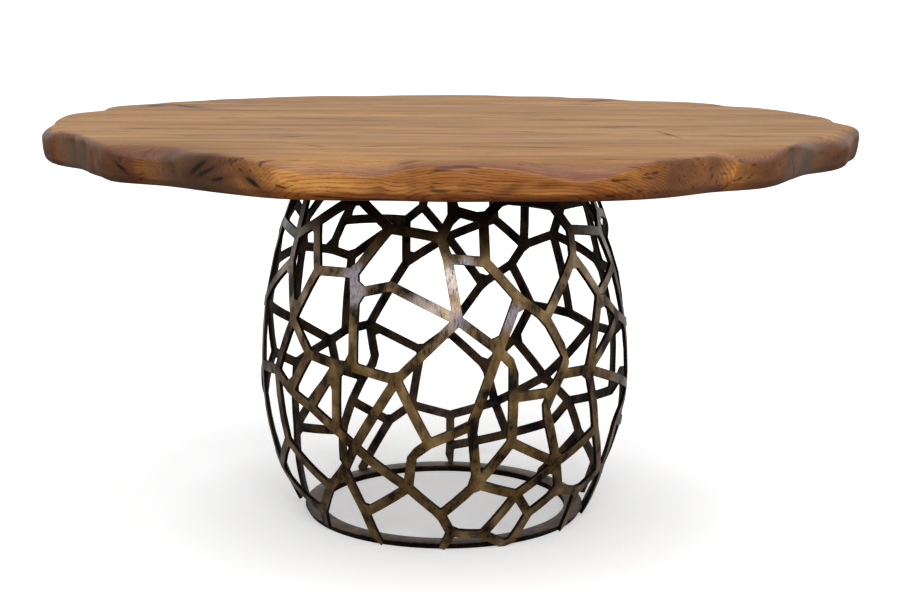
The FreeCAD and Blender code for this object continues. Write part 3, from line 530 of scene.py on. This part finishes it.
# The skin is doubled inwards by the bar's thickness; the outside, the inside and the sides differ in finish
OUTSIDE_FACING = 0.85
SIDE_FACING = 0.45
SHARP = math.radians(25)
inner = bmesh.ops.extrude_face_region(lattice, geom=lattice.faces[:], use_keep_orig=True)["geom"]
for vert in dict.fromkeys(inner):
    if isinstance(vert, bmesh.types.BMVert):
        vert.co -= barrel_normal(vert.co) * (BAR_THICKNESS - 2 * ARRIS * vert[worn])
        vert.co.z = min(max(vert.co.z, foot), neck)
bmesh.ops.delete(lattice, geom=[edge for edge in lattice.edges if edge.is_wire], context="EDGES")
bmesh.ops.recalc_face_normals(lattice, faces=lattice.faces[:])
lattice = in_order(lattice)
for face in lattice.faces:
    looks_out = outwards(face)
    face.material_index = 0 if looks_out > OUTSIDE_FACING else 2 if abs(looks_out) < SIDE_FACING else 1
    face.smooth = True
for edge in lattice.edges:
    edge.smooth = edge.is_manifold and edge.calc_face_angle() < SHARP

# Rubbed bronze: brown gold where it was rubbed and waxed, with a blue-black wash left in clouds and in
# upright brush strokes. Towards the neck, up under the top, it is painted darker as the top's shadow. On the
# front
# some places get a painted highlight in pale silver. Those places and how far they reach (mm), and how strong
# the highlight is:
PAINTED_HIGHLIGHTS_MM = [(-159, -289, 509, 34, 0.9), (-157, -297, 480, 30, 0.9), (-46, -336, 470, 26, 0.4),
             (-20, -340, 458, 26, 0.4), (21, -343, 443, 34, 0.32), (17, -328, 512, 36, 0.3),
             (40, -320, 538, 20, 0.45), (121, -322, 443, 34, 0.65)]
bronze, tree, shader, spot_mm = blank_material("rubbed_bronze")
cloud_space = add(tree, "Mapping", {"Vector": spot_mm, "Scale": (1 / 42, 1 / 42, 1 / 60)})
clouds = add(tree, "TexNoise", {"Vector": cloud_space, "Scale": 1, "Detail": 4, "Roughness": 0.6})
stroke_space = add(tree, "Mapping", {"Vector": spot_mm, "Scale": (1 / 2.6, 1 / 2.6, 1 / 20)})
strokes = add(tree, "TexNoise", {"Vector": stroke_space, "Scale": 1, "Detail": 3, "Roughness": 0.62})
rubbing = add(tree, "MapRange", {"Value": clouds, "From Min": 0.36, "From Max": 0.6})
metal = add(tree, "Mix", {"Factor": rubbing, "A": linear("#21170B"), "B": linear("#80622F")},
            data_type="RGBA")
high = add(tree, "MapRange", {"Value": clouds, "From Min": 0.58, "From Max": 0.74})
metal = add(tree, "Mix", {"Factor": high, "A": metal, "B": linear("#A88D5E")}, data_type="RGBA")
wash_and_shade = add(tree, "Math", {0: strokes, 1: clouds}, operation="ADD")
wash_and_shade = add(tree, "MapRange", {"Value": wash_and_shade, "From Min": 0.94, "From Max": 0.79})
# Painted shadow: the bars are drawn darker towards the neck, where the top shades them
height = add(tree, "SeparateXYZ", {0: spot_mm}).node.outputs["Z"]
painted_top_shadow = add(tree, "MapRange", {"Value": height, "From Min": 510, "From Max": 630, "To Max": 0.9},
                interpolation_type="SMOOTHSTEP")
wash_and_shade = add(tree, "Math", {0: wash_and_shade, 1: painted_top_shadow}, operation="MAXIMUM")
metal = add(tree, "Mix", {"Factor": wash_and_shade, "A": metal, "B": linear("#120E0E")}, data_type="RGBA")
polish = add(tree, "Math", {0: 1, 1: wash_and_shade}, operation="SUBTRACT")
polish = add(tree, "Math", {0: polish, 1: rubbing}, operation="MULTIPLY")
bare_beech_and_highlight = 0.0
# Painted highlights: pale silvery spots at the listed places, broken up by the brush strokes
for x, y, z, reach, most in PAINTED_HIGHLIGHTS_MM:
    away = add(tree, "VectorMath", {0: spot_mm, 1: (x, y, z)}, operation="DISTANCE").node.outputs["Value"]
    swell = add(tree, "MapRange", {"Value": away, "From Min": reach, "From Max": 0.3 * reach, "To Max": most},
                interpolation_type="SMOOTHSTEP")
    bare_beech_and_highlight = add(tree, "Math", {0: swell, 1: bare_beech_and_highlight}, operation="MAXIMUM")
brushed = add(tree, "MapRange", {"Value": strokes, "From Min": 0.34, "From Max": 0.56, "To Min": 0.25})
bare_beech_and_highlight = add(tree, "Math", {0: bare_beech_and_highlight, 1: brushed}, operation="MULTIPLY")
metal = add(tree, "Mix", {"Factor": bare_beech_and_highlight, "A": metal, "B": linear("#ACA8B8")}, data_type="RGBA")
tree.links.new(add(tree, "Math", {0: polish, 1: 0.95}, operation="MULTIPLY"), shader.inputs["Coat Weight"])
tree.links.new(metal, shader.inputs["Base Color"])
shader.inputs["Metallic"].default_value = 0.55
shader.inputs["Specular IOR Level"].default_value = 0.2
shader.inputs["Coat Roughness"].default_value = 0.2
tree.links.new(add(tree, "MapRange", {"Value": strokes, "From Min": 0.3, "From Max": 0.7, "To Min": 0.42,
                                      "To Max": 0.26}), shader.inputs["Roughness"])
tree.links.new(add(tree, "Bump", {"Height": strokes, "Strength": 0.2, "Distance": 0.4 * MM}),
               shader.inputs["Normal"])


def clouded_metal(name, clouds_mm, dark, pale, metallic, specular, smooth, rough):
    """A metal that goes from dark to pale in clouds of the given size, and is rougher where it is pale."""
    material, tree, shader, spot_mm = blank_material(name)
    cloud_space = add(tree, "Mapping", {"Vector": spot_mm, "Scale": [1 / size for size in clouds_mm]})
    clouds = add(tree, "TexNoise", {"Vector": cloud_space, "Scale": 1, "Detail": 5, "Roughness": 0.63})
    thin = add(tree, "MapRange", {"Value": clouds, "From Min": 0.38, "From Max": 0.7})
    tree.links.new(add(tree, "Mix", {"Factor": thin, "A": linear(dark), "B": linear(pale)}, data_type="RGBA"),
                   shader.inputs["Base Color"])
    shader.inputs["Metallic"].default_value = metallic
    shader.inputs["Specular IOR Level"].default_value = specular
    tree.links.new(add(tree, "MapRange", {"Value": clouds, "To Min": smooth, "To Max": rough}),
                   shader.inputs["Roughness"])
    tree.links.new(add(tree, "Bump", {"Height": clouds, "Strength": 0.12, "Distance": 0.4 * MM}),
                   shader.inputs["Normal"])
    return material


# Washed bronze: the inside of the bars, which was not rubbed back, dark brown with thin patches.
# Blackened bronze: the sides of the bars, where the wash was left thick, almost black.
washed = clouded_metal("washed_bronze", (30, 30, 46), "#0B0B10", "#5A462C", 0.6, 0.15, 0.4, 0.6)
blackened = clouded_metal("blackened_bronze", (24, 24, 24), "#0A0705", "#2C2114", 0.5, 0.1, 0.44, 0.64)

mesh = bpy.data.meshes.new("welded_lattice")
lattice.to_mesh(mesh)
lattice.free()
for finish in (bronze, washed, blackened):
    mesh.materials.append(finish)
welded = bpy.data.objects.new("welded_lattice", mesh)
bpy.context.scene.collection.objects.link(welded)
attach(welded, "root")
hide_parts(*bar_nodes)

# The floor ring is flat steel bar, bent round and welded to the feet of the lattice from inside. Its arrises
# are eased, its upper face is washed brown and its walls are black.
RING_ARRIS = 1.5 * MM
RING_STEPS = 180
low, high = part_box("floor_ring")
reaches = [(math.hypot(vert.co.x, vert.co.y), vert.co.z) for vert in nodes["floor_ring"].data.vertices]
bore = min(reach for reach, height in reaches)
outside = {level: max(reach for reach, height in reaches if abs(height - level) < SAME_POINT)
           for level in (low.z, high.z)}
section = ((bore, low.z), (outside[low.z], low.z), (outside[high.z], high.z), (bore, high.z))
ring = bmesh.new()
corners = [ring.verts.new((reach, 0, height)) for reach, height in section]
ring.faces.new(corners)
bmesh.ops.bevel(ring, geom=corners, offset=RING_ARRIS, offset_type="OFFSET", segments=3, profile=0.5,
                affect="VERTICES", clamp_overlap=True, material=-1)
bmesh.ops.delete(ring, geom=ring.faces[:], context="FACES_ONLY")
bmesh.ops.spin(ring, geom=ring.verts[:] + ring.edges[:], axis=(0, 0, 1), cent=(0, 0, 0), angle=2 * math.pi,
               steps=RING_STEPS, use_merge=True)
bmesh.ops.remove_doubles(ring, verts=ring.verts, dist=HAIR)
bmesh.ops.recalc_face_normals(ring, faces=ring.faces)
for face in ring.faces:
    face.material_index = 0 if face.normal.z > 0.5 else 1
    face.smooth = True
mesh = bpy.data.meshes.new("flat_floor_ring")
ring.to_mesh(mesh)
ring.free()
brushed = clouded_metal("brushed_bronze", (24, 24, 24), "#1E160C", "#7C6244", 0.6, 0.15, 0.35, 0.55)
for finish in (brushed, blackened):
    mesh.materials.append(finish)
flat_ring = bpy.data.objects.new("flat_floor_ring", mesh)
bpy.context.scene.collection.objects.link(flat_ring)
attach(flat_ring, "root")
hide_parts("floor_ring")

# The mounting ring is a wide flat steel ring, welded on the upper ends of the bars and washed dark with them.
# Eight zinc-plated bolts with washers go up through it into brass inserts in the planks.
zinc = clouded_metal("zinc_plated_steel", (5, 5, 5), "#84898E", "#B4B8B8", 1, 0.5, 0.3, 0.46)
brass = clouded_metal("turned_brass", (6, 6, 0.8), "#8E6C34", "#C09C58", 1, 0.5, 0.24, 0.4)
for name, finish in (("mounting_ring", washed), ("mounting_bolts", zinc), ("mounting_washers", zinc),
                     ("threaded_inserts", brass)):
    nodes[name].data.materials.clear()
    nodes[name].data.materials.append(finish)

# The studio: a white floor that runs out of sight, and soft light from the front and above.
bpy.ops.mesh.primitive_plane_add(size=60)
floor = bpy.context.object
floor.name = "studio_floor"
paper, tree, shader, spot_mm = blank_material("white_paper")
shader.inputs["Roughness"].default_value = 0.9
seen = add(tree, "LightPath").node.outputs["Is Camera Ray"]
white = add(tree, "Mix", {"Factor": seen, "A": linear("#AAAAAA"), "B": linear("#E6E6E6")}, data_type="RGBA")
tree.links.new(white, shader.inputs["Base Color"])
# Painted shade: the floor glows less near the base, so it looks darker around and under the table
away = add(tree, "VectorMath", {0: spot_mm}, operation="LENGTH").node.outputs["Value"]
painted_near_shade = add(tree, "MapRange", {"Value": away, "From Min": 190, "From Max": 560, "To Min": 0.36,
                              "To Max": 0.63})
fade = add(tree, "MapRange", {"Value": away, "From Min": 800, "From Max": 3500, "To Max": 0.3})
fade = add(tree, "Math", {0: fade, 1: painted_near_shade}, operation="ADD")
glow = add(tree, "Emission", {"Strength": add(tree, "Math", {0: seen, 1: fade}, operation="MULTIPLY")})
lit = add(tree, "AddShader", {0: shader.outputs[0], 1: glow})
tree.links.new(lit, tree.nodes["Material Output"].inputs["Surface"])
floor.data.materials.append(paper)

world = bpy.data.worlds.new("studio_light")
bpy.context.scene.world = world
world.use_nodes = True
tree = world.node_tree
rays = add(tree, "LightPath").node.outputs
seen = add(tree, "Math", {0: rays["Is Camera Ray"], 1: rays["Is Glossy Ray"]}, operation="MAXIMUM")
seen = add(tree, "Math", {0: seen, 1: rays["Is Transmission Ray"]}, operation="MAXIMUM")
tree.nodes["Background"].inputs["Color"].default_value = (1, 1, 1, 1)
tree.links.new(add(tree, "MapRange", {"Value": seen, "To Min": 0.38, "To Max": 1}),
               tree.nodes["Background"].inputs["Strength"])

# A wide lamp in front, a little to the right, and a smaller one above
for name, energy, wide, high, spot, aim in (("front_lamp", 67, 1.8, 1.0, (0.3, -3.4, 1.85), (0, 0, 0.6)),
                                            ("upper_lamp", 33, 2.2, 2.4, (0.3, 0.2, 3.2), (0, 0, 0.7))):
    lamp = bpy.data.lights.new(name, "AREA")
    lamp.shape = "RECTANGLE"
    lamp.energy = energy
    lamp.size = wide
    lamp.size_y = high
    light = bpy.data.objects.new(name, lamp)
    light.location = spot
    light.rotation_euler = (Vector(aim) - Vector(spot)).to_track_quat("-Z", "Y").to_euler()
    bpy.context.scene.collection.objects.link(light)

FOCUS_PIXELS = 1711.7
PHOTO_WIDTH = 900
VIEW_DOWN = 10.61
VIEW_ROLL = 0.25
view = bpy.data.cameras.new("photo_view")
view.sensor_width = 36
view.lens = FOCUS_PIXELS / PHOTO_WIDTH * view.sensor_width
camera = bpy.data.objects.new("photo_view", view)
camera.location = (0.0105, -3.2673, 1.0264)
pitch = Matrix.Rotation(math.radians(90 - VIEW_DOWN), 3, "X")
camera.rotation_euler = (pitch @ Matrix.Rotation(math.radians(VIEW_ROLL), 3, "Z")).to_euler()
bpy.context.scene.collection.objects.link(camera)
bpy.context.scene.camera = camera
bpy.context.scene.view_settings.view_transform = "Standard"
